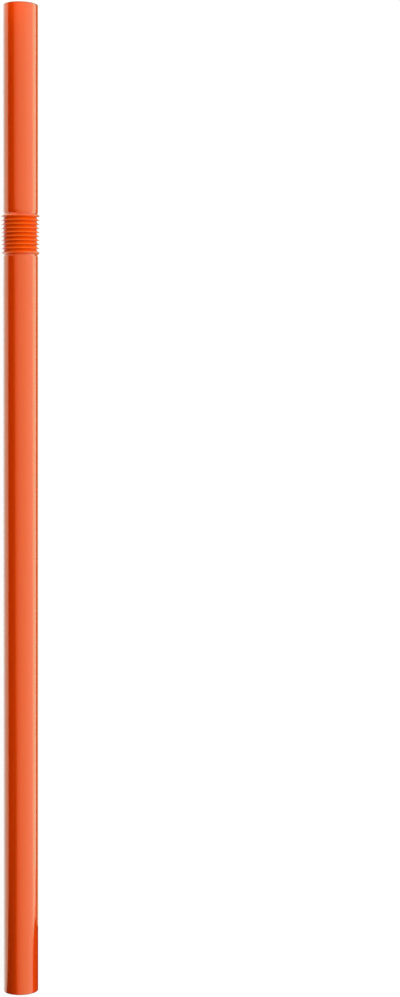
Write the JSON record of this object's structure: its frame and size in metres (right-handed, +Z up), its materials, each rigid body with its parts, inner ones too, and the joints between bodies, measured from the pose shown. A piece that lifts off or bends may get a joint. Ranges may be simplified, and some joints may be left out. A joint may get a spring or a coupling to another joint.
{
  "type": "drinking straw",
  "caption": "Flexible drinking straw: a thin-walled tube open at both ends, with a bellows of pressed ring pleats near its mouth end, shown pushed together.",
  "frame": {"origin": "on the surface that the straw lies on, under its axis and the middle of its length", "axes": "+Y along the straw towards the mouth end, +Z up from the surface"},
  "size_m": [0.0084, 0.216, 0.0084],
  "materials": {
    "straw_plastic": "glossy extruded polypropylene, slightly translucent"
  },
  "bodies": {
    "root": {"straw": "straw_plastic"}
  },
  "joints": []
}
